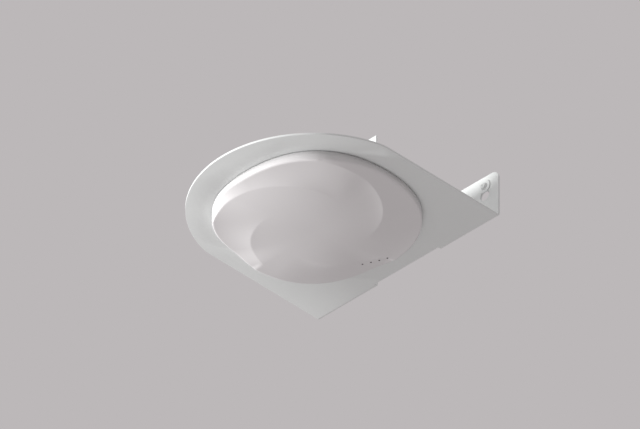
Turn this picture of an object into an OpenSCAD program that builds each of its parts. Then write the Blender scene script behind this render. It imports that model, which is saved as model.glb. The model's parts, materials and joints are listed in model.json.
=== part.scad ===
// Ceiling access point held face down in a right-angle wall bracket.
// Origin on the wall plane, midway between the two wall screws.
// X runs along the wall, -Y points out into the room, Z is up.
// The pieces are drawn with heights from the plate's underside, then lowered by wall_screw_z.

/* [Bracket] */
// Width of the bracket along the wall
bracket_w = 280; // [260:1:340]
// Thickness of the bracket's sheet metal
sheet_t = 2.5; // [1.5:0.1:3]
// Outer radius of the bend between the plate and the wall flanges
bend_r = 4; // [3.5:0.1:6]
// Distance from the wall to the vertical axis of the access point
axis_y = 147.5; // [140:0.5:180]
// How much the front edge's radius exceeds half the bracket's width
front_extra = 3; // [1:0.5:12]
// How far in front of the access point's axis the front edge is centred
front_shift = 5; // [0:0.5:10]
// Radius of the soft corners between the front edge and the sides
corner_blend = 60; // [20:1:80]
// Radius of the round cut-out that the housing passes through
cutout_r = 100; // [99:0.5:104]
// Height of the wall flanges above the plate's underside
flange_h = 63.5; // [62:0.5:80]
// Corner radius at the top of the wall flanges
flange_corner = 10; // [4:0.5:14]
// Width of the cable notch in the back edge
notch_w = 100; // [60:1:120]
// Depth of the cable notch, from the wall
notch_d = 6; // [5:0.1:8]

/* [Wall fixing] */
// Distance between the two wall screws
wall_pitch = 237.8; // [220:0.1:245]
// Height of the wall screws above the plate's underside
wall_screw_z = 50; // [47:0.1:50.5]
// Diameter of the keyhole's entry hole
keyhole_d = 13.9; // [10:0.1:15]
// Distance from the wall screw down to the centre of the entry hole
keyhole_drop = 11.6; // [10:0.1:13]
// Diameter of the wall screw's shank
wall_screw_d = 5; // [4:0.1:6]
// How far the wall screw stands out behind the bracket
wall_screw_reach = 14; // [10:0.5:18]
// Diameter of the washer on the keyhole
washer_d = 17.3; // [16:0.1:18]
// Thickness of the washer
washer_t = 1.2; // [0.8:0.1:1.6]

/* [Bridge] */
// Width of the bridge, from front to back
bridge_w = 50; // [44:1:56]
// Outer width of the bridge, from leg to leg
bridge_span = 208; // [207:0.5:212]
// How far the front ears of the bridge reach past its legs
ear_reach = 12.5; // [6:0.5:14]
// Height of the bridge's top above the plate's underside
bridge_top = 33.3; // [32.6:0.1:39]
// Thickness of the bridge's sheet metal
bridge_t = 2; // [1.5:0.1:2.2]
// Length of the bridge's feet
foot_l = 18; // [16:1:22]

/* [Cover] */
// Width of the cover across its flats
cover_across = 223; // [218:1:226]
// Half of how far the corners stand out past the flats
corner_bulge = 2.7; // [1:0.1:4]
// Gap between the cover's top edge and the bracket plate
cover_gap = 1; // [0.8:0.1:2]
// Depth of the dome's edge below the plate's underside, before the swirl shapes it
rim_depth = 10; // [9.5:0.1:12]
// How much deeper the edge is where each swirl blade ends
blade_tail = 5.6; // [0:0.1:6]
// How much shallower the edge is where the deepest scoop begins
scoop_drop = 12.3; // [0:0.1:12.5]
// Depth of the middle of the cover below the plate's underside
crown_depth = 24; // [22:0.1:28]
// Radius of the rounded edge between the side wall and the dome
rim_round = 2; // [1:0.1:2.5]
// Wall thickness of the cover
cover_t = 2.2; // [1.8:0.1:2.6]
// Steepness of the scooped side of each swirl crest
scoop_slope = 0.17; // [0.05:0.01:0.25]

/* [Housing] */
// Radius of the die-cast housing
housing_r = 96; // [94:0.5:96.5]
// Height of the tips of the cooling fins above the plate's underside
fin_top = 26; // [25:0.1:26.5]
// Wall thickness of the housing
housing_t = 3.5; // [2.5:0.1:4]
// Number of cooling fins on each side of the middle
fins = 9; // [6:1:10]
// Radius of the circuit board
board_r = 102; // [101:0.5:102.5]
// Thickness of the circuit board
board_t = 1.6; // [1.2:0.1:1.8]

/* [Twist lock] */
// Radius of the circle of bayonet studs
stud_ring_r = 56; // [55:0.5:58]
// Diameter of the bayonet studs' necks
stud_neck_d = 6; // [5:0.1:6.5]
// Diameter of the bayonet studs' heads
stud_head_d = 10; // [9.5:0.1:10.5]
// Angle that the access point turns to unlock
unlock_angle = 15; // [13:0.5:16]
// Lift of the lock plunger over that turn
plunger_lift = 1.7; // [1.4:0.1:1.8]

/* [Status lights] */
// Diameter of the status lights
light_d = 2; // [1.6:0.1:2.4]
// Number of status lights
lights = 4; // [2:1:5]

/* [Fits] */
// Gap between parts that move past each other
run_gap = 0.3; // [0.2:0.05:0.4]
// Gap around ports in the housing wall
port_gap = 0.25; // [0.15:0.05:0.4]
// Gap between a screw and its hole
screw_gap = 0.1; // [0.05:0.05:0.2]

/* [Hidden] */
$fn = 64;
eps = 0.01;

// Finishes
powder_white = [0.86, 0.87, 0.87];
plastic_white = [0.88, 0.86, 0.86];
cast_grey = [0.62, 0.63, 0.64];
steel = [0.72, 0.73, 0.75];
board_green = [0.10, 0.32, 0.18];
black = [0.06, 0.06, 0.07];
gold = [0.85, 0.68, 0.30];

// The bracket's front edge is an arc centred a little in front of the access point's axis
front_r = bracket_w / 2 + front_extra;
front_y = axis_y + front_shift;
blend_x = bracket_w / 2 - corner_blend;
blend_y = sqrt(pow(front_r - corner_blend, 2) - pow(blend_x, 2));

// The bridge's feet and the studs that hold them, pressed into blind holes in the plate
foot_x = bridge_span / 2 + foot_l / 2;
foot_holes_x = [-foot_x, foot_x];
foot_holes_y = [-bridge_w / 2 + 10, bridge_w / 2 - 10];
foot_stud_d = 4;
stud_hole_d = foot_stud_d + 0.5;
stud_skin = 1;
stud_top = sheet_t + bridge_t + 5.5;

// The twist-lock stack, from the housing's pads up to the bridge
plate_gap = run_gap;
mount_t = 2;
mount_top = bridge_top - bridge_t;
mount_low = mount_top - mount_t;
pad_top = mount_low - plate_gap;
head_low = mount_top + plate_gap;
stud_head_h = 1.6;
mount_r = stud_ring_r + 10;
stud_angles = [50, 130, 230, 310];
slot_half = stud_neck_d / 2 + run_gap;
entry_r = stud_head_d / 2 + run_gap;
middle_hole_r = 12;

// The housing
roof_z = fin_top - 4;
roof_t = 3;
flange_top = -cover_gap - 0.05;
flange_t = 2.5;
flange_low = flange_top - flange_t;
inner_r = housing_r - housing_t;
board_top = flange_low - 0.45;
board_low = board_top - board_t;
bay_back = 70;
bay_wall = 2.5;
bay_x = [-46, 48];
fin_pitch = 9;
fin_t = 2.2;

// The cover's wall carries the seal on a ledge
flange_inset = 2.6;
ledge_inset = 5.4;
seal_t = 1.5;
ledge_z = flange_low - seal_t;
cover_turns = 72;
cover_rings = [0.12, 0.24, 0.35, 0.45, 0.54, 0.62, 0.70, 0.77, 0.84, 0.90, 0.95];

// Board fastenings
board_screw_angles = [-150, -90, -30, 30, 150];
board_screw_r = 88;
board_screw_d = 3;
cover_screw_r = cover_across / 2 - 7;
cover_screw_d = 3;
cover_screw_angles = [45, 135, 225, 315];
mount_screw_x = 40;
mount_screw_y = 16;
mount_screw_d = 3;

// Wall of ports, seen from the wall side: centre X of each, and its width
jack_w = 16;
jack_h = 13.4;
jack_l = 20;
jack_x = [-30, -11];
jack_face = bay_back + bay_wall + 0.5;
dc_x = 6.5;
usb_x = 21;
console_x = 33.5;
button_x = 42.5;
button_d = 2.4;
button_travel = 0.6;
button_z = board_top + 3;
button_tip = bay_back + bay_wall - 0.5;
button_l = 7;

// The plunger stands on the front half of the mount plate
lock_r = 45;
plunger_d = 4;
barrel_d = 9;
barrel_h = 14;
barrel_base = 2;
ramp_len = lock_r * unlock_angle * PI / 180;
pocket_low = pad_top - plunger_lift - 0.1;
collar_r = 3;
collar_h = 1.2;
plunger_collar_z = mount_top + 3.4;
spring_low = plunger_collar_z + collar_h;
spring_high = mount_top + barrel_h - 2;

// Radius of the cover's outline at an angle: a circle drawn out towards four corners
function outline_r(a) = cover_across / 2 + corner_bulge * (1 + cos(4 * (a - 45)));

// A swirl crest leaves each corner and winds inward at a steady rate
crest_start_r = cover_across / 2 + 4.8;
crest_rate = 0.545;
function crest_r(turn) = crest_start_r - crest_rate * turn;

// For each corner: degrees at which its crest begins, the edge's lift there as a share of the
// deepest one, and degrees over which the last blade's tail runs out
crest_first = [38, 38, 0, 0];
drop_share = [0.33, 0.33, 1, 0.18];
tail_fade = [20, 20, 22, 42];

// How strongly a crest stands out after so many degrees
crest_full = 62;
crest_end = 116;
function ease(t) = t <= 0 ? 0 : t >= 1 ? 1 : t * t * (3 - 2 * t);
function crest_share(turn, first) =
    ease((turn - first + 0.5) / 3) * (1 - ease((turn - crest_full) / (crest_end - crest_full)));

drop_end = 40;
function edge_drop(turn, k) = scoop_drop * drop_share[k] * pow(max(0, 1 - turn / drop_end), 1.3);
function scoop(r, a, turn, k) =
    let (width = outline_r(a) - crest_r(turn), past = r - crest_r(turn))
    past <= 0 || width < 0.5 ? 0
    : crest_share(turn, crest_first[k])
        * (edge_drop(turn, k) * past / width + scoop_slope * past * (1 - past / width / 2));

// Each blade thickens towards its end, and its tail runs out just after the next crest begins
tail_power = 4.5;
function tail(r, a, turn, k) =
    let (fallen = 1 - ease((turn - crest_first[k]) / tail_fade[k]), risen = ease((turn - 30) / 60))
    blade_tail * pow(r / outline_r(a), tail_power) * (fallen + risen - fallen * risen);

// Depth of the dome below the plate's underside, at radius r and angle a from the axis
dome_power = 2.3;
function corner(a) = floor((((a - 45) % 360) + 360) % 360 / 90);
function corner_turn(a) = (((a - 45) % 90) + 90) % 90;
function dome_depth(r, a) =
    rim_depth + (crown_depth - rim_depth) * (1 - pow(r / outline_r(a), dome_power))
    + tail(r, a, corner_turn(a), corner(a))
    - scoop(r, a, corner_turn(a), corner(a))
    - scoop(r, a, corner_turn(a) + 90, (corner(a) + 3) % 4);

// Places of the status lights: they follow one crest, a little outside it
pipe_collar_l = 1.3;
pipe_proud = 0.3;
light_turn = 38.5;
light_step = 5.8;
light_offset = 5.5;
function light_angle(i) = 45 + light_turn + light_step * i;
function light_r(i) = crest_r(light_turn + light_step * i) + light_offset;
function light_tip(i) = -dome_depth(light_r(i), light_angle(i)) - pipe_proud;

// From heights above the plate's underside to heights above the origin
module from_plate() {
    translate([0, 0, -wall_screw_z]) children();
}

module at_axis() {
    from_plate() translate([0, -axis_y, 0]) children();
}

module ring(outer, inner, h) {
    difference() {
        cylinder(r = outer, h = h);
        translate([0, 0, -1]) cylinder(r = inner, h = h + 2);
    }
}

// Flat squircle, drawn in from the cover's outline
module outline(inset) {
    polygon([for (i = [0 : cover_turns - 1])
        let (a = i * 360 / cover_turns, r = outline_r(a) - inset) [r * cos(a), r * sin(a)]]);
}

module hex_nut(across, bore_r, h) {
    difference() {
        cylinder(r = across / 2 / cos(30), h = h, $fn = 6);
        translate([0, 0, -1]) cylinder(r = bore_r, h = h + 2);
    }
}

// ---- Bracket ----

function arc(centre, r, from, to, steps) =
    [for (i = [0 : steps]) let (a = from + (to - from) * i / steps) centre + r * [cos(a), sin(a)]];

// Flat shape of the plate: straight sides, and a round front that meets them in tangent arcs
module plate_shape() {
    turn = atan2(blend_y, blend_x);
    polygon(concat(
        [[-bracket_w / 2, -bend_r], [bracket_w / 2, -bend_r]],
        arc([blend_x, -front_y - blend_y], corner_blend, 0, -turn, 12),
        arc([0, -front_y], front_r, -turn - 1.5, turn - 178.5, 90),
        arc([-blend_x, -front_y - blend_y], corner_blend, turn - 180, -180, 12)));
}

// One wall flange, drawn flat in X and Z
module flange_shape() {
    x0 = notch_w / 2;
    x1 = bracket_w / 2;
    difference() {
        union() {
            translate([x0, bend_r]) square([x1 - x0, flange_h - flange_corner - bend_r]);
            translate([x0 + flange_corner, bend_r])
                square([x1 - x0 - 2 * flange_corner, flange_h - bend_r]);
            for (x = [x0 + flange_corner, x1 - flange_corner])
                translate([x, flange_h - flange_corner]) circle(r = flange_corner);
        }
        keyhole_shape();
    }
}

module keyhole_shape() {
    slot_w = wall_screw_d + 2 * run_gap;
    translate([wall_pitch / 2, wall_screw_z - keyhole_drop]) circle(d = keyhole_d);
    translate([wall_pitch / 2, wall_screw_z]) circle(d = slot_w);
    translate([wall_pitch / 2 - slot_w / 2, wall_screw_z - keyhole_drop]) square([slot_w, keyhole_drop]);
}

module bend() {
    x0 = notch_w / 2;
    translate([x0, -bend_r, bend_r]) rotate([90, 0, 90])
        intersection() {
            difference() {
                cylinder(r = bend_r, h = bracket_w / 2 - x0);
                translate([0, 0, -1]) cylinder(r = bend_r - sheet_t, h = bracket_w / 2 - x0 + 2);
            }
            translate([0, -bend_r, 0]) cube([bend_r, bend_r, bracket_w / 2 - x0]);
        }
}

module bracket() {
    color(powder_white) from_plate() difference() {
        union() {
            linear_extrude(sheet_t) plate_shape();
            for (side = [0, 1]) mirror([side, 0, 0]) {
                bend();
                rotate([90, 0, 0]) linear_extrude(sheet_t) flange_shape();
            }
        }
        translate([0, -axis_y, -1]) cylinder(r = cutout_r, h = sheet_t + 2, $fn = 120);
        translate([-notch_w / 2, -notch_d, -1]) cube([notch_w, notch_d + 1, sheet_t + 2]);
        for (x = foot_holes_x, y = foot_holes_y)
            translate([x, -axis_y + y, stud_skin]) cylinder(d = foot_stud_d, h = sheet_t);
    }
}

module wall_washers() {
    color(powder_white) for (x = [-1, 1] * wall_pitch / 2)
        translate([x, -sheet_t, 0]) rotate([90, 0, 0])
            ring(washer_d / 2, wall_screw_d / 2 + 0.2, washer_t);
}

// Wall screws: a full shank behind the bracket, and a slimmer neck through the flange and washer
module wall_screws() {
    head_r = 4.8;
    head_h = 2.6;
    head_low = wall_screw_reach + sheet_t + washer_t;
    recess_h = 0.8;
    color(powder_white) for (x = [-1, 1] * wall_pitch / 2)
        translate([x, wall_screw_reach, 0]) rotate([90, 0, 0]) difference() {
            union() {
                cylinder(d = wall_screw_d, h = wall_screw_reach);
                cylinder(d = wall_screw_d - 0.4, h = head_low + 1);
                translate([0, 0, head_low]) cylinder(r1 = head_r, r2 = head_r * 0.7, h = head_h);
            }
            translate([0, 0, head_low + head_h - recess_h]) cross_recess(3.2, recess_h + 0.1);
        }
}

// A cross-shaped driver recess
module cross_recess(w, h) {
    for (a = [0, 90]) rotate([0, 0, a]) translate([-w / 2, -w / 8, 0]) cube([w, w / 4, h]);
}

// ---- Bridge ----

module bridge() {
    half = bridge_span / 2;
    ear_x = half + ear_reach;
    front = -bridge_w / 2;
    color(powder_white) at_axis() difference() {
        union() {
            translate([-half, front, mount_top]) cube([bridge_span, bridge_w, bridge_t]);
            for (side = [0, 1]) mirror([side, 0, 0]) {
                translate([half - bridge_t, front, sheet_t])
                    cube([bridge_t, bridge_w, bridge_top - sheet_t]);
                translate([half - bridge_t, front, sheet_t])
                    cube([foot_l + bridge_t, bridge_w, bridge_t]);
                translate([half - bridge_t, front, sheet_t])
                    cube([ear_x - half + bridge_t, bridge_t, bridge_top - sheet_t]);
            }
        }
        for (x = foot_holes_x, y = foot_holes_y)
            translate([x, y, 0]) cylinder(d = stud_hole_d, h = stud_top);
        for (x = [-mount_screw_x, mount_screw_x], y = [-1, 1] * mount_screw_y)
            translate([x, y, mount_top - 1]) cylinder(d = mount_screw_d + 2 * screw_gap, h = bridge_t + 2);
        translate([0, 0, mount_top - 1]) cylinder(r = middle_hole_r, h = bridge_t + 2);
    }
}

// Studs pressed into blind holes, so that the plate's underside stays plain
module bridge_studs() {
    color(steel) at_axis() for (x = foot_holes_x, y = foot_holes_y)
        translate([x, y, stud_skin]) cylinder(d = foot_stud_d, h = stud_top - stud_skin);
}

module bridge_nuts() {
    color(steel) at_axis() for (x = foot_holes_x, y = foot_holes_y)
        translate([x, y, sheet_t + bridge_t]) hex_nut(7, foot_stud_d / 2 + 0.05, 3.2);
}

// ---- Twist lock ----

module mount_plate() {
    color(steel) at_axis() difference() {
        translate([0, 0, mount_low]) cylinder(r = mount_r, h = mount_t, $fn = 96);
        translate([0, 0, mount_low - 1]) {
            cylinder(r = middle_hole_r, h = mount_t + 2);
            for (a = stud_angles) rotate([0, 0, a]) stud_slot();
            for (x = [-mount_screw_x, mount_screw_x], y = [-1, 1] * mount_screw_y)
                translate([x, y, 0]) cylinder(d = mount_screw_d + 2 * screw_gap, h = mount_t + 2);
            translate([0, -lock_r, 0]) cylinder(d = barrel_d - 2, h = mount_t + 2);
        }
    }
}

// Curved slot with a round entry at its unlocked end
module stud_slot() {
    rotate_extrude(angle = unlock_angle, $fn = 120)
        translate([stud_ring_r - slot_half, 0]) square([2 * slot_half, mount_t + 2]);
    translate([stud_ring_r, 0, 0]) cylinder(r = slot_half, h = mount_t + 2);
    rotate([0, 0, unlock_angle]) translate([stud_ring_r, 0, 0]) cylinder(r = entry_r, h = mount_t + 2);
}

module mount_plate_screws() {
    color(steel) at_axis() for (x = [-mount_screw_x, mount_screw_x], y = [-1, 1] * mount_screw_y)
        translate([x, y, mount_low - 1.2]) difference() {
            union() {
                cylinder(d = 5.6, h = 1.2);
                cylinder(d = mount_screw_d, h = 1.2 + mount_t + bridge_t + 3.4);
            }
            translate([0, 0, -eps]) cylinder(d = 2.2, h = 0.8, $fn = 6);
        }
}

module mount_plate_nuts() {
    color(steel) at_axis() for (x = [-mount_screw_x, mount_screw_x], y = [-1, 1] * mount_screw_y)
        translate([x, y, bridge_top]) hex_nut(5.5, mount_screw_d / 2 + 0.05, 2.4);
}

module lock_barrel() {
    bore_r = plunger_d / 2 + 0.08;
    color(steel) at_axis() translate([0, -lock_r, 0]) difference() {
        union() {
            translate([0, 0, mount_low + 0.2]) cylinder(d = barrel_d - 2.1, h = barrel_h - 0.2 + mount_t);
            translate([0, 0, mount_top]) cylinder(d = barrel_d + 4, h = barrel_base);
            translate([0, 0, mount_top]) cylinder(d = barrel_d, h = barrel_h);
        }
        translate([0, 0, mount_low]) cylinder(r = bore_r, h = 30);
        translate([0, 0, plunger_collar_z]) cylinder(r = collar_r + run_gap, h = spring_high - plunger_collar_z);
    }
}

module lock_plunger() {
    color(steel) at_axis() translate([0, -lock_r, 0]) union() {
        translate([0, 0, pocket_low + run_gap + plunger_d / 2]) sphere(d = plunger_d, $fn = 48);
        translate([0, 0, pocket_low + run_gap + plunger_d / 2])
            cylinder(d = plunger_d, h = mount_top + barrel_h + 2 - pocket_low - run_gap - plunger_d / 2);
        translate([0, 0, plunger_collar_z]) cylinder(r = collar_r, h = collar_h);
        translate([0, 0, mount_top + barrel_h + run_gap + 0.5]) cylinder(r = 4, h = 4);
    }
}

// Closely wound spring between the plunger's collar and the barrel's top
module lock_spring() {
    turns = 5;
    wire = 0.5;
    mid_r = plunger_d / 2 + 0.6;
    pitch = (spring_high - spring_low - wire) / (turns - 1);
    color(steel) at_axis() translate([0, -lock_r, spring_low + wire / 2])
        for (i = [0 : turns - 1]) translate([0, 0, i * pitch])
            rotate_extrude($fn = 40) translate([mid_r, 0]) circle(d = wire, $fn = 16);
}

// ---- Housing ----

module chassis_outer() {
    translate([0, 0, flange_low]) linear_extrude(flange_t) outline(flange_inset);
    translate([0, 0, flange_low]) cylinder(r = housing_r, h = roof_z - flange_low, $fn = 120);
    intersection() {
        union() for (i = [-fins : fins])
            translate([i * fin_pitch - fin_t / 2, -housing_r, roof_z - 1])
                cube([fin_t, 2 * housing_r, fin_top - roof_z + 1]);
        translate([0, 0, roof_z - 1]) ring(housing_r - 3, mount_r + 4, 10);
    }
    for (a = stud_angles) rotate([0, 0, a]) translate([stud_ring_r, 0, roof_z - 1])
        cylinder(d = 16, h = pad_top - roof_z + 1);
    translate([-ramp_len - 8, -lock_r - 8, roof_z - 1]) cube([ramp_len + 16, 16, pad_top - roof_z + 1]);
}

module chassis_cavity() {
    difference() {
        translate([0, 0, flange_low - 1])
            cylinder(r = inner_r, h = roof_z - roof_t - flange_low + 1, $fn = 120);
        translate([bay_x[0] - bay_wall, bay_back, flange_low - 2])
            cube([bay_x[1] - bay_x[0] + 2 * bay_wall, 100, 60]);
        for (a = board_screw_angles) rotate([0, 0, a]) translate([board_screw_r, 0, board_top])
            cylinder(d = 8, h = 60);
        for (p = pedestals) translate([p[0] - p[2] / 2, p[1] - p[3] / 2, pedestal_low])
            cube([p[2], p[3], 60]);
    }
}

// Ramp that lifts the plunger as the access point turns
module plunger_pocket() {
    flat = plunger_d / 2 + 0.6;
    translate([0, -lock_r + 4.6, 0]) rotate([90, 0, 0]) linear_extrude(9.2)
        polygon([[flat, pad_top + 1], [flat, pocket_low], [-flat, pocket_low],
            [-flat - ramp_len, pad_top], [-flat - ramp_len, pad_top + 1]]);
}

// Shield cans: centre X and Y, length and width, and the pedestal that meets each one
cans = [[-46, -26, 34, 40], [0, 0, 44, 44], [46, -26, 34, 40]];
can_h = 2.6;
can_t = 0.3;
thermal_pad_t = 1;
pedestals = [for (c = cans) [c[0], c[1], c[2] - 10, c[3] - 10]];
pedestal_low = board_top + can_h + thermal_pad_t;

module chassis() {
    color(cast_grey) at_axis() difference() {
        chassis_outer();
        chassis_cavity();
        translate([bay_x[0], bay_back + bay_wall, flange_top]) cube([bay_x[1] - bay_x[0], 60, 60]);
        plunger_pocket();
        for (a = stud_angles) rotate([0, 0, a]) translate([stud_ring_r, 0, roof_z - roof_t - 1])
            cylinder(d = stud_neck_d - 1, h = 20);
        for (a = board_screw_angles) rotate([0, 0, a]) translate([board_screw_r, 0, board_top - 1])
            cylinder(d = board_screw_d + 2 * screw_gap, h = 9);
        for (a = cover_screw_angles) rotate([0, 0, a]) translate([cover_screw_r, 0, 0]) {
            translate([0, 0, flange_low - 1]) cylinder(d = cover_screw_d + 2 * screw_gap, h = 6);
            translate([0, 0, flange_top - 1.5])
                cylinder(d1 = cover_screw_d + 2 * screw_gap, d2 = 6.2 + 2 * screw_gap, h = 1.5 + eps);
        }
        for (x = jack_x) port_hole(x, jack_w, board_top + jack_h / 2, jack_h);
        port_hole(dc_x, 9, board_top + 5.5, 11);
        port_hole(usb_x, 14.4, board_top + 3.6, 7.2);
        port_hole(console_x, 8, board_top + 1.6, 3.2);
        translate([button_x, bay_back - 1, button_z]) rotate([-90, 0, 0])
            cylinder(d = button_d + 2 * 0.1, h = bay_wall + 2);
    }
}

module port_hole(x, w, z, h) {
    translate([x - w / 2 - port_gap, bay_back - 1, z - h / 2 - port_gap])
        cube([w + 2 * port_gap, bay_wall + 2, h + 2 * port_gap]);
}

module bayonet_studs() {
    color(steel) at_axis() for (a = stud_angles) rotate([0, 0, a]) translate([stud_ring_r, 0, 0]) {
        translate([0, 0, roof_z - roof_t]) cylinder(d = stud_neck_d - 1.04, h = pad_top - roof_z + roof_t);
        translate([0, 0, pad_top]) cylinder(d = stud_neck_d, h = head_low - pad_top);
        translate([0, 0, head_low]) cylinder(d = stud_head_d, h = stud_head_h);
    }
}

// ---- Cover ----

// Rings of the cover's wall, from the middle of the outside round to the middle of the inside.
// The outside and the inside are the same dome, a wall apart.
function edge_depth(a) = dome_depth(outline_r(a), a);
function edge_round(a) = max(0.1, min(rim_round, 0.6 * (edge_depth(a) - cover_gap - 0.3)));
function outer_point(f, a) =
    let (r = f * (outline_r(a) - edge_round(a))) [r * cos(a), r * sin(a), -dome_depth(r, a)];
function inner_point(f, a) =
    let (r = f * (outline_r(a) - ledge_inset)) [r * cos(a), r * sin(a), -dome_depth(r, a) + cover_t];
function wall_point(inset, z, a) =
    let (r = outline_r(a) - inset) [r * cos(a), r * sin(a), z];

module cover_shell() {
    n = cover_turns;
    angles = [for (i = [0 : n - 1]) i * 360 / n];
    rings = concat(
        [for (f = cover_rings) [for (a = angles) outer_point(f, a)]],
        [[for (a = angles) outer_point(1, a)]],
        [[for (a = angles) wall_point(edge_round(a) * 0.3, -edge_depth(a) + edge_round(a) * 0.3, a)]],
        [[for (a = angles) wall_point(0, -edge_depth(a) + edge_round(a), a)]],
        [[for (a = angles) wall_point(0, -cover_gap, a)]],
        [[for (a = angles) wall_point(flange_inset - 0.1, -cover_gap, a)]],
        [[for (a = angles) wall_point(flange_inset - 0.1, ledge_z, a)]],
        [[for (a = angles) wall_point(ledge_inset, ledge_z, a)]],
        [for (k = [len(cover_rings) - 1 : -1 : 0]) [for (a = angles) inner_point(cover_rings[k], a)]]
    );
    m = len(rings);
    points = concat([for (r = rings) each r], [[0, 0, -crown_depth], [0, 0, -crown_depth + cover_t]]);
    faces = concat(
        [for (j = [0 : m - 2], i = [0 : n - 1]) let (k = (i + 1) % n)
            [j * n + i, (j + 1) * n + i, (j + 1) * n + k]],
        [for (j = [0 : m - 2], i = [0 : n - 1]) let (k = (i + 1) % n)
            [j * n + i, (j + 1) * n + k, j * n + k]],
        [for (i = [0 : n - 1]) [m * n, i, (i + 1) % n]],
        [for (i = [0 : n - 1]) [m * n + 1, (m - 1) * n + (i + 1) % n, (m - 1) * n + i]]
    );
    polyhedron(points, faces);
}

// The screw bosses stand on the inside of the dome
function boss_low(a) = 0.6 * cover_t - dome_depth(cover_screw_r, a);

module cover() {
    color(plastic_white) at_axis() difference() {
        union() {
            cover_shell();
            for (a = cover_screw_angles) rotate([0, 0, a]) translate([cover_screw_r, 0, boss_low(a)])
                cylinder(d = 7, h = flange_low - boss_low(a));
        }
        for (a = cover_screw_angles) rotate([0, 0, a]) translate([cover_screw_r, 0, -8.6])
            cylinder(d = cover_screw_d + 0.04, h = 10);
        for (i = [0 : lights - 1]) rotate([0, 0, light_angle(i)]) translate([light_r(i), 0, -30])
            cylinder(d = light_d + 0.1, h = 25);
    }
}

module cover_gasket() {
    color(black) at_axis() translate([0, 0, ledge_z]) linear_extrude(seal_t) difference() {
        outline(flange_inset + 0.2);
        outline(ledge_inset - 0.2);
    }
}

module cover_screws() {
    color(steel) at_axis() for (a = cover_screw_angles) rotate([0, 0, a]) translate([cover_screw_r, 0, 0])
        difference() {
            union() {
                translate([0, 0, -8.2]) cylinder(d = cover_screw_d, h = 8.2 + flange_top - 1.5);
                translate([0, 0, flange_top - 1.5]) cylinder(d1 = cover_screw_d, d2 = 6.2, h = 1.5);
            }
            translate([0, 0, flange_top - 0.9]) cross_recess(3, 2);
        }
}

// ---- Electronics ----

module main_board() {
    color(board_green) at_axis() difference() {
        translate([0, 0, board_low]) cylinder(r = board_r, h = board_t, $fn = 120);
        for (a = board_screw_angles) rotate([0, 0, a]) translate([board_screw_r, 0, board_low - 1])
            cylinder(d = board_screw_d + 2 * screw_gap, h = board_t + 2);
        for (a = cover_screw_angles) rotate([0, 0, a]) translate([cover_screw_r, 0, board_low - 1])
            cylinder(r = 8, h = board_t + 2);
    }
}

module board_screws() {
    color(steel) at_axis() for (a = board_screw_angles) rotate([0, 0, a])
        translate([board_screw_r, 0, board_low - 1.6]) difference() {
            union() {
                cylinder(d = 5.5, h = 1.6);
                cylinder(d = board_screw_d, h = 1.6 + board_t + 7);
            }
            translate([0, 0, -eps]) cross_recess(2.6, 1);
        }
}

module on_board(p, size) {
    translate([p[0] - size[0] / 2, p[1] - size[1] / 2, board_top]) cube(size);
}

module chips() {
    color(black) at_axis() {
        on_board(cans[0], [14, 14, 1.1]);
        on_board([cans[0][0], cans[0][1] - 14], [8, 5, 1]);
        on_board(cans[1], [23, 23, 1.6]);
        for (x = [-16, 16]) on_board([x, 0], [7, 11, 1.1]);
        on_board(cans[2], [14, 14, 1.1]);
        on_board([cans[2][0], cans[2][1] - 14], [8, 5, 1]);
    }
}

module shield_can(c) {
    color(steel) at_axis() difference() {
        on_board(c, [c[2], c[3], can_h]);
        translate([0, 0, -can_t]) on_board(c, [c[2] - 2 * can_t, c[3] - 2 * can_t, can_h]);
    }
}

module thermal_pads() {
    color([0.55, 0.62, 0.72]) at_axis() for (p = pedestals)
        translate([p[0] - p[2] / 2, p[1] - p[3] / 2, board_top + can_h]) cube([p[2], p[3], thermal_pad_t]);
}

// Transformers behind the jacks, coils and capacitors of the power stage
module board_parts() {
    color(black) at_axis() {
        for (x = jack_x) on_board([x, 41], [15, 15, 6]);
        on_board([10, 46], [12, 12, 7]);
        on_board([28, 48], [7, 9, 3]);
        for (x = [-60, 60]) on_board([x, 30], [9, 9, 4.5]);
    }
    color(steel) at_axis() for (x = [22, 34, 46]) translate([x, 34, board_top]) cylinder(d = 8, h = 9);
}

// A stamped antenna: two feet on the board and a flat radiator below them
module antenna(a, r, length, drop) {
    rotate([0, 0, a]) translate([r, 0, 0]) {
        for (y = [-length / 2, length / 2 - 5])
            translate([-0.2, y, board_low - drop]) cube([0.4, 1.2, drop]);
        translate([-3, -length / 2, board_low - drop]) cube([6, length, 0.4]);
    }
}

module antennas_low_band() {
    color(gold) at_axis() for (a = [0, 180]) antenna(a, 80, 30, 3.6);
}

module antennas_mid_band() {
    color(gold) at_axis() for (a = [40, 140, 220, 320]) antenna(a, 80, 18, 3.6);
}

module antennas_high_band() {
    color(gold) at_axis() for (a = [250, 290]) antenna(a, 80, 13, 3.6);
}

module status_leds() {
    color([0.9, 0.9, 0.7]) at_axis() for (i = [0 : lights - 1]) rotate([0, 0, light_angle(i)])
        translate([light_r(i) - 0.8, -0.4, board_low - 0.7]) cube([1.6, 0.8, 0.7]);
}

// Light pipes: a collar over each diode, a rod out through the cover, and ribs that join them
module light_pipes() {
    color([0.16, 0.16, 0.18]) at_axis() difference() {
        union() {
            for (i = [0 : lights - 1]) rotate([0, 0, light_angle(i)]) translate([light_r(i), 0, 0]) {
                translate([0, 0, light_tip(i)]) cylinder(d = light_d, h = board_low - light_tip(i));
                translate([0, 0, board_low - pipe_collar_l]) cylinder(d = 4.2, h = pipe_collar_l);
            }
            for (i = [0 : lights - 2]) light_rib(i);
        }
        for (i = [0 : lights - 1]) rotate([0, 0, light_angle(i)])
            translate([light_r(i) - 1, -0.6, board_low - 1]) cube([2, 1.2, 2]);
    }
}

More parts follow.
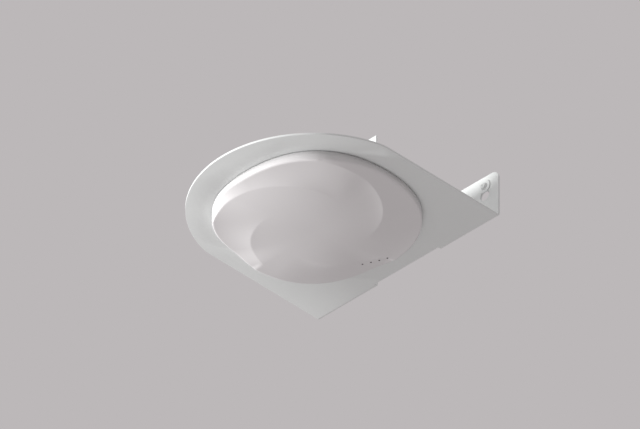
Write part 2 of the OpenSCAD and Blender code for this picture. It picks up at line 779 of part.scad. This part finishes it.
module light_rib(i) {
    p = light_r(i) * [cos(light_angle(i)), sin(light_angle(i))];
    q = light_r(i + 1) * [cos(light_angle(i + 1)), sin(light_angle(i + 1))];
    d = q - p;
    translate([p[0], p[1], board_low - pipe_collar_l]) rotate([0, 0, atan2(d[1], d[0])])
        translate([1.6, -0.6, 0]) cube([norm(d) - 3.2, 1.2, 0.9]);
}

// ---- Ports ----

// A shielded eight-way jack, open towards the wall, with its latch groove below
module ethernet_jack(x) {
    color(steel) at_axis() translate([x, jack_face - jack_l, board_top]) difference() {
        translate([-jack_w / 2, 0, 0]) cube([jack_w, jack_l, jack_h]);
        translate([-5.9, jack_l - 14, 4.4]) cube([11.8, 15, 7.2]);
        translate([-3, jack_l - 14, 2.4]) cube([6, 15, 3]);
    }
}

module jack_contacts() {
    color(gold) at_axis() for (x = jack_x, i = [0 : 7])
        translate([x - 3.57 + i * 1.02 - 0.2, jack_face - 14, board_top + 11.1]) cube([0.4, 9, 0.5]);
}

module dc_jack() {
    color(black) at_axis() translate([dc_x, jack_face - 13, board_top]) difference() {
        translate([-4.5, 0, 0]) cube([9, 13, 11]);
        translate([0, 3, 6.2]) rotate([-90, 0, 0]) cylinder(r = 3.15, h = 12);
    }
}

module dc_pin() {
    color(steel) at_axis() translate([dc_x, jack_face - 10, board_top + 6.2]) rotate([-90, 0, 0])
        cylinder(r = 1, h = 9);
}

module usb_port() {
    color(steel) at_axis() translate([usb_x, jack_face - 14, board_top]) difference() {
        translate([-7.2, 0, 0]) cube([14.4, 14, 7.2]);
        difference() {
            translate([-6.5, 2, 0.8]) cube([13, 13, 5.6]);
            translate([-5.6, 1, 4]) cube([11.2, 11.5, 1.9]);
        }
    }
}

module console_port() {
    color(steel) at_axis() translate([console_x, jack_face - 6, board_top]) difference() {
        translate([-4, 0, 0]) cube([8, 6, 3.2]);
        difference() {
            translate([-3.5, 1, 0.5]) cube([7, 6, 2.2]);
            translate([-1.8, 0.5, 1.6]) cube([3.6, 5, 0.5]);
        }
    }
}

module reset_button() {
    color(black) at_axis() translate([button_x, button_tip, button_z]) rotate([90, 0, 0]) {
        cylinder(d = button_d, h = button_l);
        translate([0, 0, button_tip - bay_back + run_gap]) cylinder(d = button_d + 2, h = 1.2);
    }
}

module reset_switch() {
    back = button_tip - button_l - button_travel - run_gap;
    color(black) at_axis() translate([button_x, back, board_top]) {
        translate([-3, -4, 0]) cube([6, 4, 6]);
    }
}

bracket();
bridge();
bridge_studs();
bridge_nuts();
wall_screws();
wall_washers();
mount_plate();
mount_plate_screws();
mount_plate_nuts();
lock_barrel();
lock_plunger();
lock_spring();
chassis();
bayonet_studs();
cover();
cover_gasket();
cover_screws();
main_board();
board_screws();
chips();
shield_can(cans[0]);  // shield_can_left
shield_can(cans[1]);  // shield_can_middle
shield_can(cans[2]);  // shield_can_right
thermal_pads();
board_parts();
antennas_low_band();
antennas_mid_band();
antennas_high_band();
status_leds();
light_pipes();
ethernet_jack(jack_x[0]);  // ethernet_jack_a
ethernet_jack(jack_x[1]);  // ethernet_jack_b
jack_contacts();
dc_jack();
dc_pin();
usb_port();
console_port();
reset_button();
reset_switch();
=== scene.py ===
import json
import math

import bmesh
import bpy
from mathutils import Matrix, Vector


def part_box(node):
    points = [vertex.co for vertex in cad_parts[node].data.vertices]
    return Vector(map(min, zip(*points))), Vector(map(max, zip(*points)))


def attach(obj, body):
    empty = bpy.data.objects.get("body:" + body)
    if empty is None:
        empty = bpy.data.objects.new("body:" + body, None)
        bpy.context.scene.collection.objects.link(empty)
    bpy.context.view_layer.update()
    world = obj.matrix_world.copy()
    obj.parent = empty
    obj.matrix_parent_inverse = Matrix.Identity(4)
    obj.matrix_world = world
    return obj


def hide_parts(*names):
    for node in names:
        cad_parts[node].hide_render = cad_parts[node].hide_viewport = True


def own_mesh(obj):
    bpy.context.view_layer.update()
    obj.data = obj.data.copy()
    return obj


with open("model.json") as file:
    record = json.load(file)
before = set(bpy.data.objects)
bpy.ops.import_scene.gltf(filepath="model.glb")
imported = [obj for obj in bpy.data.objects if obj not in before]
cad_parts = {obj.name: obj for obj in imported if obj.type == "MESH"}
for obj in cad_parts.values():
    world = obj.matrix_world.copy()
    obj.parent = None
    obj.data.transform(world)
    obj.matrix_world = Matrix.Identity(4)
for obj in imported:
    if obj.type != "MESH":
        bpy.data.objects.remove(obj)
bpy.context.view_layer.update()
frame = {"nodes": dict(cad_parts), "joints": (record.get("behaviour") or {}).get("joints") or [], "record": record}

# Ceiling access point held face down in a right-angle wall bracket. Metres throughout.
# The wall is the plane y = 0, -y points into the room, and the dome looks down.

mm = 0.001
nodes = frame["nodes"]
joints = {joint["name"]: joint for joint in frame["joints"]}
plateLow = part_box("bracket")[0]
hub = Vector(joints["access_point_twist"]["pos_m"])  # on the axis that the access point turns about
hub.z = plateLow.z                                   # level with the plate's underside
print("frame loaded:", len(nodes), "nodes")


# Shader maths: a socket that takes part in plain arithmetic

class Wire:
    def __init__(self, tree, socket):
        self.tree = tree
        self.socket = socket

    def maths(self, operation, other=None, swapped=False):
        node = self.tree.nodes.new("ShaderNodeMath")
        node.operation = operation
        terms = [self] if other is None else [other, self] if swapped else [self, other]
        for slot, term in zip(node.inputs, terms):
            if isinstance(term, Wire):
                self.tree.links.new(term.socket, slot)
            else:
                slot.default_value = term
        return Wire(self.tree, node.outputs[0])

    def __add__(self, other):
        return self.maths("ADD", other)

    def __sub__(self, other):
        return self.maths("SUBTRACT", other)

    def __mul__(self, other):
        return self.maths("MULTIPLY", other)

    def __rsub__(self, other):
        return self.maths("SUBTRACT", other, swapped=True)

    __radd__ = __add__
    __rmul__ = __mul__

    def above(self, level, soft):  # 0 below the level, 1 above it, over a soft step
        node = self.tree.nodes.new("ShaderNodeMapRange")
        node.interpolation_type = "SMOOTHSTEP"
        self.tree.links.new(self.socket, node.inputs[0])
        node.inputs[1].default_value = level - soft
        node.inputs[2].default_value = level + soft
        return Wire(self.tree, node.outputs[0])


class Finish:
    def __init__(self, name, **fixed):
        self.material = bpy.data.materials.new(name)
        self.material.use_nodes = True
        self.tree = self.material.node_tree
        self.shader = self.tree.nodes["Principled BSDF"]
        for socket, value in fixed.items():
            self.set(socket.replace("_", " "), value)
        self.place = self.add("ShaderNodeTexCoord", {}, {}, "Object")

    def set(self, socket, value):
        target = self.shader.inputs[socket]
        if isinstance(value, Wire):
            self.tree.links.new(value.socket, target)
        elif isinstance(value, tuple) and len(value) == 3:
            target.default_value = (*value, 1)
        else:
            target.default_value = value

    def add(self, kind, settings, sockets, output=0):
        node = self.tree.nodes.new(kind)
        for name, value in settings.items():
            if name == "stops":
                ramp = node.color_ramp
                while len(ramp.elements) < len(value):
                    ramp.elements.new(1)
                for element, (position, colour) in zip(ramp.elements, value):
                    element.position = position
                    element.color = (*colour, 1)
            else:
                setattr(node, name, value)
        for name, value in sockets.items():
            if isinstance(value, Wire):
                self.tree.links.new(value.socket, node.inputs[name])
            elif isinstance(value, tuple) and len(value) == 3 and node.inputs[name].type == "RGBA":
                node.inputs[name].default_value = (*value, 1)
            else:
                node.inputs[name].default_value = value
        return Wire(self.tree, node.outputs[output])

    def scaled(self, scale):
        return self.add("ShaderNodeMapping", {}, {"Vector": self.place, "Scale": scale})

    def cloud(self, size, detail=3, rough=0.5, stretch=(1, 1, 1)):  # noise with features of that size
        sized = self.scaled(tuple(s / size for s in stretch))
        return self.add("ShaderNodeTexNoise", {},
                        {"Vector": sized, "Scale": 1.0, "Detail": detail, "Roughness": rough})

    def cells(self, scale, settings, randomness, output):
        return self.add("ShaderNodeTexVoronoi", {"feature": "F1", **settings},
                        {"Vector": self.scaled(scale), "Scale": 1.0, "Randomness": randomness}, output)

    def mix(self, share, first, second):
        return self.add("ShaderNodeMix", {"data_type": "RGBA"}, {0: share, 6: first, 7: second}, 2)

    def bump(self, height, depth):
        normal = self.add("ShaderNodeBump", {}, {"Height": height, "Distance": depth, "Strength": 1.0})
        self.set("Normal", normal)
        return self


# Finishes

def powderCoat():
    look = {"colour": (0.775, 0.80, 0.79), "shade": (0.74, 0.765, 0.757),
            "orangePeel": 1.1 * mm, "roughness": 0.50}
    finish = Finish("powderCoat", Specular_IOR_Level=0.42)
    drift = finish.cloud(60 * mm, 2)
    peel = finish.cloud(look["orangePeel"], 2)
    grain = finish.cloud(0.35 * mm, 1)
    finish.set("Base Color", finish.mix(drift, look["shade"], look["colour"]))
    finish.set("Roughness", look["roughness"] + (drift - 0.5) * 0.10 + (grain - 0.5) * 0.12)
    return finish.bump(peel * 0.8 + grain * 0.2, 0.035 * mm).material


def domePlastic():
    look = {"colour": (0.738, 0.727, 0.729), "shade": (0.708, 0.698, 0.70),
            "spark": 0.45 * mm, "roughness": 0.46}
    finish = Finish("domePlastic", Specular_IOR_Level=0.45)
    drift = finish.cloud(90 * mm, 2)
    spark = finish.cloud(look["spark"], 2, 0.7)
    finish.set("Base Color", finish.mix(drift, look["shade"], look["colour"]))
    finish.set("Roughness", look["roughness"] + (spark - 0.5) * 0.16)
    return finish.bump(spark, 0.018 * mm).material


def zincPlate():
    finish = Finish("zincPlate", Metallic=1.0)
    stain = finish.cloud(4 * mm, 4)
    scuff = finish.cloud(0.5 * mm, 3, 0.6, (1, 1, 0.25))
    finish.set("Base Color", finish.mix(stain, (0.60, 0.62, 0.66), (0.74, 0.75, 0.76)))
    finish.set("Roughness", 0.26 + stain * 0.14 + (scuff - 0.5) * 0.12)
    return finish.bump(scuff, 0.02 * mm).material


def galvanised():
    finish = Finish("galvanised", Metallic=1.0)
    flake = finish.cells((160, 160, 160), {}, 1.0, "Color")
    spangle = finish.add("ShaderNodeSeparateColor", {}, {"Color": flake})
    haze = finish.cloud(9 * mm, 4)
    share = spangle * 0.6 + haze * 0.4
    finish.set("Base Color", finish.mix(share, (0.50, 0.52, 0.55), (0.66, 0.68, 0.70)))
    finish.set("Roughness", 0.34 + share * 0.20)
    return finish.bump(share, 0.01 * mm).material


def stainless():
    finish = Finish("stainless", Metallic=1.0)
    rings = finish.cloud(0.6 * mm, 3, 0.6, (0.15, 0.15, 2.5))
    finish.set("Base Color", finish.mix(rings, (0.52, 0.52, 0.53), (0.66, 0.66, 0.66)))
    finish.set("Roughness", 0.22 + rings * 0.16)
    return finish.bump(rings, 0.012 * mm).material


def castAluminium():
    finish = Finish("castAluminium", Metallic=1.0)
    blast = finish.cloud(0.55 * mm, 2, 0.7)
    flow = finish.cloud(28 * mm, 5, 0.6, (1, 1.8, 1))
    finish.set("Base Color", finish.mix(flow, (0.47, 0.48, 0.50), (0.60, 0.61, 0.62)))
    finish.set("Roughness", 0.50 + (flow - 0.5) * 0.14 + (blast - 0.5) * 0.16)
    return finish.bump(blast * 0.7 + flow * 0.3, 0.06 * mm).material


def sealRubber():
    finish = Finish("sealRubber", Specular_IOR_Level=0.35)
    dust = finish.cloud(3 * mm, 4, 0.6)
    finish.set("Base Color", finish.mix(dust, (0.018, 0.018, 0.019), (0.045, 0.045, 0.046)))
    finish.set("Roughness", 0.60 + dust * 0.2)
    return finish.bump(dust, 0.02 * mm).material


def solderMask():
    finish = Finish("solderMask", Coat_Weight=0.35, Coat_Roughness=0.12)
    blocks = finish.cells((420, 420, 420), {"distance": "MANHATTAN"}, 0.85, "Distance")
    tracks = blocks.maths("PINGPONG", 0.16).above(0.08, 0.012)
    cloud = finish.cloud(18 * mm, 2)
    ground = finish.mix(cloud, (0.012, 0.075, 0.038), (0.018, 0.095, 0.05))
    finish.set("Base Color", finish.mix(tracks, ground, (0.035, 0.17, 0.085)))
    finish.set("Roughness", 0.34 + tracks * 0.08)
    return finish.bump(tracks, 0.03 * mm).material


def chipResin():
    finish = Finish("chipResin", Specular_IOR_Level=0.4)
    grit = finish.cloud(0.25 * mm, 2, 0.7)
    finish.set("Base Color", finish.mix(grit, (0.022, 0.022, 0.024), (0.042, 0.042, 0.045)))
    finish.set("Roughness", 0.48 + grit * 0.2)
    return finish.bump(grit, 0.01 * mm).material


def tinPlate():
    finish = Finish("tinPlate", Metallic=1.0)
    roll = finish.cloud(0.8 * mm, 3, 0.6, (0.12, 2.0, 1.0))
    haze = finish.cloud(7 * mm, 3)
    finish.set("Base Color", finish.mix(haze, (0.62, 0.62, 0.60), (0.75, 0.75, 0.73)))
    finish.set("Roughness", 0.24 + haze * 0.12 + (roll - 0.5) * 0.1)
    return finish.bump(roll, 0.012 * mm).material


def thermalPad():
    finish = Finish("thermalPad")
    speck = finish.cloud(0.4 * mm, 3, 0.7)
    finish.set("Base Color", finish.mix(speck, (0.30, 0.36, 0.46), (0.42, 0.48, 0.57)))
    finish.set("Roughness", 0.7 + speck * 0.15)
    return finish.bump(speck, 0.03 * mm).material


def blackPlastic():
    finish = Finish("blackPlastic", Specular_IOR_Level=0.45)
    grain = finish.cloud(0.3 * mm, 2, 0.7)
    wear = finish.cloud(5 * mm, 4)
    finish.set("Base Color", finish.mix(wear, (0.020, 0.020, 0.022), (0.036, 0.036, 0.038)))
    finish.set("Roughness", 0.40 + grain * 0.18)
    return finish.bump(grain, 0.015 * mm).material


def brassStrip():
    finish = Finish("brassStrip", Metallic=1.0)
    stain = finish.cloud(5 * mm, 4)
    roll = finish.cloud(0.5 * mm, 3, 0.6, (0.2, 2.0, 1.0))
    finish.set("Base Color", finish.mix(stain, (0.58, 0.42, 0.16), (0.76, 0.60, 0.28)))
    finish.set("Roughness", 0.24 + stain * 0.16)
    return finish.bump(roll, 0.01 * mm).material


def goldContact():
    finish = Finish("goldContact", Metallic=1.0)
    worn = finish.cloud(1.5 * mm, 3)
    finish.set("Base Color", finish.mix(worn, (0.80, 0.56, 0.20), (0.90, 0.70, 0.33)))
    finish.set("Roughness", 0.16 + worn * 0.12)
    return finish.bump(worn, 0.004 * mm).material


def diodeLens():
    finish = Finish("diodeLens", Coat_Weight=0.6, Coat_Roughness=0.05)
    phosphor = finish.cloud(0.3 * mm, 2)
    finish.set("Base Color", finish.mix(phosphor, (0.70, 0.66, 0.34), (0.86, 0.84, 0.62)))
    finish.set("Roughness", 0.2 + phosphor * 0.15)
    return finish.bump(phosphor, 0.01 * mm).material


def smokedPlastic():
    finish = Finish("smokedPlastic", Coat_Weight=0.4, Coat_Roughness=0.1)
    murk = finish.cloud(0.8 * mm, 2)
    finish.set("Base Color", finish.mix(murk, (0.012, 0.012, 0.014), (0.032, 0.032, 0.035)))
    finish.set("Roughness", 0.18 + murk * 0.12)
    return finish.bump(murk, 0.006 * mm).material


finishes = {
    "white_powder_coat": powderCoat(),
    "white_plastic": domePlastic(),
    "zinc_steel": zincPlate(),
    "galvanised_plate": galvanised(),
    "stainless_steel": stainless(),
    "die_cast_aluminium": castAluminium(),
    "black_rubber": sealRubber(),
    "circuit_board": solderMask(),
    "chip_resin": chipResin(),
    "tinned_steel": tinPlate(),
    "thermal_silicone": thermalPad(),
    "component_black": blackPlastic(),
    "brass_strip": brassStrip(),
    "led_lens": diodeLens(),
    "smoked_plastic": smokedPlastic(),
    "gold_contact": goldContact(),
}
slotOf = {part["node"]: part["material_slot"] for part in frame["record"]["subparts"]}
bodyOf = {node: body for body, members in frame["record"]["behaviour"]["bodies"].items() for node in members}
for name, node in nodes.items():
    node.data.materials.clear()
    node.data.materials.append(finishes[slotOf[name]])
print("finishes made:", len(finishes))


# Making pieces

def addPiece(name, mesh, node, replaced=True):  # node is the CAD node that the new piece stands for or sits on
    data = bpy.data.meshes.new(name)
    mesh.to_mesh(data)
    mesh.free()
    piece = bpy.data.objects.new(name, data)
    bpy.context.scene.collection.objects.link(piece)
    data.materials.append(finishes[slotOf[node]])
    data.polygons.foreach_set("use_smooth", [True] * len(data.polygons))
    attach(piece, bodyOf[node])
    if replaced:
        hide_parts(node)
    return piece


def sharpAbove(piece, degrees):  # smooth all over, but for edges that turn more than that
    piece.data.set_sharp_from_angle(angle=math.radians(degrees))
    return piece


welding = {"reach": 0.002 * mm, "flat": 0.3}  # how near points are joined, and degrees that count as flat


def mergedCopy(node):  # the CAD node's loose triangles, welded, with its flat faces made whole again
    mesh = bmesh.new()
    mesh.from_mesh(nodes[node].data)
    bmesh.ops.remove_doubles(mesh, verts=mesh.verts, dist=welding["reach"])
    bmesh.ops.dissolve_limit(mesh, angle_limit=math.radians(welding["flat"]), verts=mesh.verts,
                             edges=mesh.edges)
    return mesh


# The dome: a squircle disc with four swirl blades pressed into it

dome = {
    "across": 223, "bulge": 2.7,              # mm over the flats, and half of how far the corners stand out
    "rimDepth": 10.0, "crownDepth": 23.99,    # mm below the plate's underside, at the edge and in the middle
    "power": 2.3,                             # how flat the middle is
    "crestStart": 116.3, "crestRate": 0.545,  # a crest's mm from the axis, and its mm inward a degree
    "crestFull": 62, "crestEnd": 116,         # degrees over which a crest fades
    "crestAhead": 0.5, "crestOpens": 3,       # degrees early that it begins, and over which it opens
    "crestSoft": 0.4, "crestLeast": 0.5,      # mm that its edge is broken, and mm of blade that it needs
    "slope": 0.17,                            # how steeply a blade dips behind its crest
    "first": (38, 38, 0, 0),                  # for each corner: degrees at which its crest begins
    "drop": (4, 4, 12.3, 0.8),                # mm that the edge lifts there
    "dropPower": 1.3, "dropEnd": 40,          # how that lift dies away, and the degrees it takes
    "tail": 5.6, "tailPower": 4.5,            # mm that a blade's end deepens the edge, and how near the edge
    "fade": (20, 20, 22, 42),                 # degrees over which the last blade's tail runs out
    "rise": (30, 42, 30, 30),                 # degrees at which its own tail starts to grow
    "lip": (0, 0.8, 0, 1.5),                  # mm that a blade stands proud just inside its crest
    "lipWide": 13, "lipNarrow": 8,            # mm inward over which that dies, and width that it needs
    "lipGrow": 45,                            # degrees over which it grows
    "gap": 1.0, "wall": 2.2,                  # mm from plate to side wall, and the shell's thickness
    "round": 2.0, "roundLeast": 0.1,          # mm that the lower edge is rounded
    "roundShare": 0.6, "roundClear": 0.3,     # of the side wall, and mm of it left straight
    "rings": 170, "steps": 360, "roundSteps": 3,
    "sharp": 40,                              # degrees that still show as an edge
}


def ease(t):
    t = min(max(t, 0), 1)
    return t * t * (3 - 2 * t)


def outlineRadius(turn):
    return dome["across"] / 2 + dome["bulge"] * (1 + math.cos(math.radians(4 * (turn - 45))))


def crestRadius(turn):
    return dome["crestStart"] - dome["crestRate"] * turn


def crestShare(turn, first):
    fading = (turn - dome["crestFull"]) / (dome["crestEnd"] - dome["crestFull"])
    return ease((turn - first + dome["crestAhead"]) / dome["crestOpens"]) * (1 - ease(fading))


def scoop(radius, angle, turn, corner):
    width = outlineRadius(angle) - crestRadius(turn)
    past = radius - crestRadius(turn)
    share = crestShare(turn, dome["first"][corner])
    lip = dome["lip"][corner] * ease((turn - dome["first"][corner]) / dome["lipGrow"])
    lip *= min(max(width, 0) / dome["lipNarrow"], 1)
    if past <= 0 or width < dome["crestLeast"]:
        return -share * lip * math.exp(min(past, 0) / dome["lipWide"])
    drop = dome["drop"][corner] * max(0, 1 - turn / dome["dropEnd"]) ** dome["dropPower"]
    soft = past * past / (past + dome["crestSoft"])
    pressed = drop * past / width + dome["slope"] * soft * (1 - past / width / 2)
    return share * (pressed - lip * (1 - past / width))


def tail(radius, angle, turn, corner):
    fallen = 1 - ease((turn - dome["first"][corner]) / dome["fade"][corner])
    rise = dome["rise"][corner]
    risen = ease((turn - rise) / (90 - rise))
    grown = fallen + risen - fallen * risen
    return dome["tail"] * (radius / outlineRadius(angle)) ** dome["tailPower"] * grown


def domeDepth(radius, angle):  # mm below the plate, with each corner's turn counted from its own diagonal
    turn = (angle - 45) % 90
    corner = int((angle - 45) % 360 // 90)
    rise = (dome["crownDepth"] - dome["rimDepth"]) * (1 - (radius / outlineRadius(angle)) ** dome["power"])
    return (dome["rimDepth"] + rise + tail(radius, angle, turn, corner)
            - scoop(radius, angle, turn, corner) - scoop(radius, angle, turn + 90, corner - 1))


def domeCover():
    rings, steps, arcs = dome["rings"], dome["steps"], dome["roundSteps"]
    mesh = bmesh.new()
    spokes = [mesh.verts.new((0.0, 0, 0))]
    spokes += [mesh.verts.new((k / rings, 0, 0)) for k in range(1, rings + arcs + 2)]
    edges = [mesh.edges.new(pair) for pair in zip(spokes, spokes[1:])]
    bmesh.ops.spin(mesh, geom=spokes + edges, cent=(0, 0, 0), axis=(0, 0, 1), angle=2 * math.pi,
                   steps=steps, use_merge=True)
    bmesh.ops.remove_doubles(mesh, verts=mesh.verts, dist=0.0005)
    for vert in mesh.verts:
        share = math.hypot(vert.co.x, vert.co.y)
        angle = math.degrees(math.atan2(vert.co.y, vert.co.x))
        edge = domeDepth(outlineRadius(angle), angle)
        straight = edge - dome["gap"] - dome["roundClear"]
        rounded = max(dome["roundLeast"], min(dome["round"], dome["roundShare"] * straight))
        bend = (share - 1) * rings  # 0 at the end of the dome, then the rounded edge and the side wall
        if bend < 0.5:
            radius = share * (outlineRadius(angle) - rounded)
            depth = domeDepth(radius, angle)
        elif bend < arcs + 0.5:
            arc = math.radians(90 / arcs * round(bend))
            radius = outlineRadius(angle) - rounded * (1 - math.sin(arc))
            depth = edge - rounded * (1 - math.cos(arc))
        else:
            radius = outlineRadius(angle)
            depth = dome["gap"]
        spot = Vector((radius * math.cos(math.radians(angle)), radius * math.sin(math.radians(angle)), -depth))
        vert.co = hub + spot * mm
    bmesh.ops.recalc_face_normals(mesh, faces=mesh.faces)
    if sum(face.normal.z * face.calc_area() for face in mesh.faces) > 0:
        bmesh.ops.reverse_faces(mesh, faces=mesh.faces)
    piece = addPiece("dome_cover", mesh, "cover")
    wall = piece.modifiers.new("wall", "SOLIDIFY")
    wall.thickness = dome["wall"] * mm
    wall.offset = -1
    sharpAbove(piece, dome["sharp"])


domeCover()
print("dome pressed")

# Broken edges on everything that was cut, stamped, cast or moulded

bevelling = {"corner": 40, "sharp": 24, "wide": 0.32}  # two in degrees, and mm past which it takes three steps
edgeRounding = {  # mm
    "bracket": 0.35, "bridge": 0.3, "mount_plate": 0.25, "wall_washers": 0.2, "wall_screws": 0.2,
    "bridge_nuts": 0.3, "mount_plate_nuts": 0.25, "mount_plate_screws": 0.2, "bridge_studs": 0.3,
    "lock_barrel": 0.25, "lock_plunger": 0.25, "chassis": 0.4, "bayonet_studs": 0.25, "cover_screws": 0.15,
    "main_board": 0.12, "board_screws": 0.2, "chips": 0.12, "thermal_pads": 0.15, "board_parts": 0.35,
    "shield_can_left": 0.18, "shield_can_middle": 0.18, "shield_can_right": 0.18,
    "ethernet_jack_a": 0.2, "ethernet_jack_b": 0.2, "dc_jack": 0.3, "dc_pin": 0.25, "usb_port": 0.2,
    "console_port": 0.15, "reset_button": 0.2, "reset_switch": 0.25, "light_pipes": 0.15,
}


def softened(node, rounding):  # the same part with its sharp edges broken
    mesh = mergedCopy(node)
    turn = math.radians(bevelling["corner"])
    edges = [edge for edge in mesh.edges if edge.is_manifold and edge.calc_face_angle() > turn]
    bmesh.ops.bevel(mesh, geom=edges, offset=rounding * mm, offset_type="OFFSET", affect="EDGES",
                    segments=3 if rounding > bevelling["wide"] else 2, profile=0.5, clamp_overlap=True,
                    material=-1)
    sharpAbove(addPiece(node + "_soft", mesh, node), bevelling["sharp"])


for name, rounding in edgeRounding.items():
    softened(name, rounding)
print("edges softened:", len(edgeRounding))


# Threads and the spring: a small section wound round an axis

winding = {"steps": 24}  # to the turn


def wound(mesh, start, along, radius, section, sides, turns):  # turns: how many, and how far each climbs
    across = along.orthogonal().normalized()
    place = Matrix((across, along, along.cross(across))).transposed().to_4x4()
    place.translation = start + across * radius
    ring = bmesh.ops.create_circle(mesh, cap_ends=False, segments=sides, radius=section, matrix=place)["verts"]
    last = ring + list(dict.fromkeys(edge for vert in ring for edge in vert.link_edges))
    for count, climb in turns:
        last = bmesh.ops.spin(mesh, geom=last, cent=start, axis=along, dvec=along * climb / winding["steps"],
                              angle=2 * math.pi * count, steps=round(winding["steps"] * count))["geom_last"]
    bmesh.ops.holes_fill(mesh, edges=[edge for edge in mesh.edges if edge.is_boundary], sides=0)
    bmesh.ops.recalc_face_normals(mesh, faces=mesh.faces)


spring = {
    "wire": 0.25, "coil": 2.6,  # mm: the wire's radius and the coil's
    "sides": 10, "turns": 3.2,  # open turns, with a closed one at each end
    "keep": 0.77,               # of its length when the plunger is up
}


def lockSpring():
    low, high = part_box("lock_spring")
    wire = spring["wire"] * mm
    closed = (1, 2 * wire)
    climb = (high.z - low.z - 6 * wire) / spring["turns"]
    mesh = bmesh.new()
    start = Vector(((low.x + high.x) / 2, (low.y + high.y) / 2, low.z + wire))
    wound(mesh, start, Vector((0, 0, 1)), spring["coil"] * mm, wire, spring["sides"],
          (closed, (spring["turns"], climb), closed))
    piece = addPiece("lock_spring_coil", mesh, "lock_spring")
    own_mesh(piece)


lockSpring()

threads = {  # mm: the shank's radius, how far the thread stands out, its pitch, and where it runs
    "wall_screws": {"radius": 2.5, "ridge": 0.28, "pitch": 1.5, "along": (0, 1, 0), "from": 1.0, "to": 12.5},
    "bridge_studs": {"radius": 2.0, "ridge": 0.14, "pitch": 0.7, "along": (0, 0, 1), "from": -2.1, "to": -0.5},
    "mount_plate_screws": {"radius": 1.5, "ridge": 0.11, "pitch": 0.5, "along": (0, 0, 1), "from": -0.85,
                           "to": -0.2},
}
threadLook = {"sides": 3, "sharp": 50}  # a ridge of three sides, and degrees that show as an edge


def threadRidges(node, thread):  # a screw along y is measured from the wall, and one along z from its top
    along = Vector(thread["along"])
    level = 0.0 if along.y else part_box(node)[1].z
    tall = (thread["to"] - thread["from"]) * mm
    pitch = thread["pitch"] * mm
    mesh = bmesh.new()
    for centre in shankCentres(node):
        start = centre + along * (level + thread["from"] * mm - centre.dot(along))
        wound(mesh, start, along, thread["radius"] * mm, thread["ridge"] * mm, threadLook["sides"],
              ((tall / pitch, pitch),))
    piece = addPiece(node + "_thread", mesh, node, replaced=False)
    sharpAbove(piece, threadLook["sharp"])


def shankCentres(node):  # the middle of each loose screw in a node
    mesh = mergedCopy(node)
    left, centres = set(mesh.verts), []
    while left:
        group, fresh = set(), [left.pop()]
        while fresh:
            vert = fresh.pop()
            group.add(vert)
            near = {link.other_vert(vert) for link in vert.link_edges} & left
            left -= near
            fresh += near
        points = [vert.co for vert in group]
        centres.append(Vector([(min(p[k] for p in points) + max(p[k] for p in points)) / 2 for k in range(3)]))
    mesh.free()
    return sorted(centres, key=lambda centre: tuple(round(value, 4) for value in centre))


for name, thread in threads.items():
    threadRidges(name, thread)
print("threads and spring wound")


# Studio: a pale room's light, a low sun from the front left, and a floor far below

camera = {
    "azimuth": 44.45, "elevation": -36.25,  # degrees: from the front right, looking up at the dome
    "across": 0.7115, "distance": 1.2,      # metres that the view takes in, and from its middle
    "cornerUp": -0.1179,                    # metres: the plate's left corner at the wall, below the middle
    "farthest": 20,
}
light = {
    "towards": (-0.60, -0.80, -0.10), "sun": 4.24, "softness": 7,
    "panels": (                             # where each soft panel hangs, and its watts
        ((0.0, -0.1, -1.0), 4.15),
        ((0.15, 0.35, 1.0), 5.0),
        ((-0.25, -0.75, 0.6), 4.5),
    ),
    "away": 1.6, "size": 1.0,               # metres from the hub, and across
    "room": (0.503, 0.479, 0.485), "roomStrength": 1.0,
}
floorLook = {"half": 8, "level": -1.9, "patch": 0.4, "dark": (0.62, 0.60, 0.60), "pale": (0.66, 0.64, 0.64)}


def makeCamera():
    around, over = math.radians(camera["azimuth"]), math.radians(camera["elevation"])
    back = Vector((math.sin(around) * math.cos(over), -math.cos(around) * math.cos(over), math.sin(over)))
    turned = (-back).to_track_quat("-Z", "Y")
    corner = Vector((plateLow.x, 0, plateLow.z))
    middle = corner - turned @ Vector((0, 1, 0)) * camera["cornerUp"]
    data = bpy.data.cameras.new("camera")
    data.type = "ORTHO"
    data.ortho_scale = camera["across"]
    data.clip_end = camera["farthest"]
    made = bpy.data.objects.new("camera", data)
    made.rotation_mode = "QUATERNION"
    made.rotation_quaternion = turned
    made.location = middle + back * camera["distance"]
    bpy.context.scene.collection.objects.link(made)
    bpy.context.scene.camera = made


def addLight(name, kind, towards, power):
    data = bpy.data.lights.new(name, kind)
    data.energy = power
    lamp = bpy.data.objects.new(name, data)
    lamp.rotation_mode = "QUATERNION"
    lamp.rotation_quaternion = Vector(towards).to_track_quat("Z", "Y")
    bpy.context.scene.collection.objects.link(lamp)
    return lamp


def makeLight():
    world = bpy.data.worlds.new("room")
    world.use_nodes = True
    room = world.node_tree.nodes["Background"]
    room.inputs["Color"].default_value = (*light["room"], 1)
    room.inputs["Strength"].default_value = light["roomStrength"]
    bpy.context.scene.world = world
    sun = addLight("sun", "SUN", light["towards"], light["sun"])
    sun.data.angle = math.radians(light["softness"])
    for number, (towards, watts) in enumerate(light["panels"]):
        panel = addLight(f"panel_{number}", "AREA", towards, watts)
        panel.data.shape = "DISK"
        panel.data.size = light["size"]
        panel.location = hub + Vector(towards).normalized() * light["away"]


def makeFloor():
    mesh = bmesh.new()
    bmesh.ops.create_grid(mesh, x_segments=1, y_segments=1, size=floorLook["half"])
    bmesh.ops.translate(mesh, verts=mesh.verts, vec=(0, 0, floorLook["level"]))
    data = bpy.data.meshes.new("floor")
    mesh.to_mesh(data)
    mesh.free()
    floor = bpy.data.objects.new("floor", data)
    paint = Finish("floorPaint", Roughness=0.8)
    paint.set("Base Color", paint.mix(paint.cloud(floorLook["patch"]), floorLook["dark"], floorLook["pale"]))
    data.materials.append(paint.material)
    bpy.context.scene.collection.objects.link(floor)


makeCamera()
makeLight()
makeFloor()
bpy.context.scene.view_settings.view_transform = "Standard"
print("studio lit")
